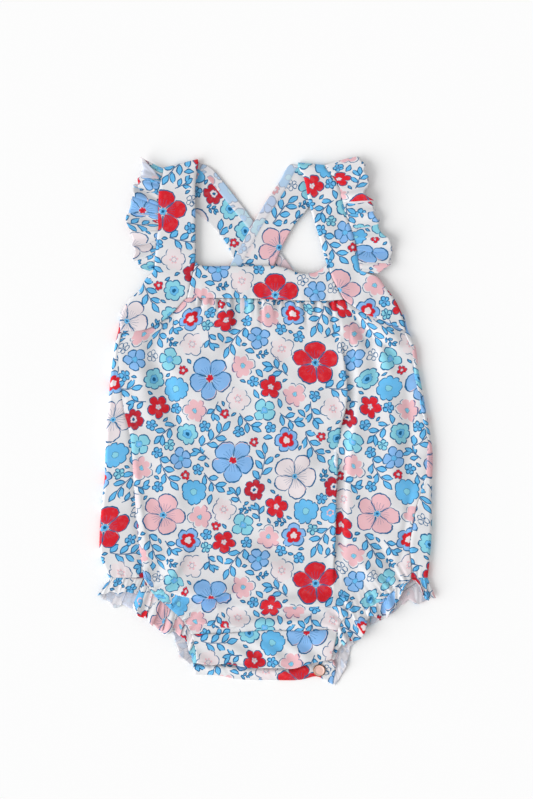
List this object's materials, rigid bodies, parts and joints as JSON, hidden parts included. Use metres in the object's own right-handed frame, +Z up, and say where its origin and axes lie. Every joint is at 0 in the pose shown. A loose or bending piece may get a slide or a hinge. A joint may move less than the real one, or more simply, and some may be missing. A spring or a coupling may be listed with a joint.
{
  "type": "baby romper",
  "caption": "Sleeveless baby romper laid flat, with a gathered front, crossed back straps, ruffles at the straps and legs, and a snapped crotch.",
  "frame": {"origin": "on the surface the garment lies on, in the middle of its length and width", "axes": "+Z up out of the front, +Y from the crotch to the shoulders, +X to the right as seen from above"},
  "size_m": [0.2622, 0.4099, 0.0082],
  "materials": {
    "printed_cloth": "soft cotton knit with a small floral print in red, blue and pink on off-white",
    "snap_metal": "pale pink enamelled ring snap"
  },
  "bodies": {
    "root": {"front_panel": "printed_cloth", "back_panel": "printed_cloth", "front_band": "printed_cloth", "left_strap": "printed_cloth", "right_strap": "printed_cloth", "left_strap_ruffle": "printed_cloth", "right_strap_ruffle": "printed_cloth", "left_leg_frill_front": "printed_cloth", "right_leg_frill_front": "printed_cloth", "left_leg_frill_back": "printed_cloth", "right_leg_frill_back": "printed_cloth", "front_placket": "printed_cloth", "back_placket": "printed_cloth", "snap_left": "snap_metal", "snap_middle": "snap_metal", "snap_right": "snap_metal"}
  },
  "joints": []
}
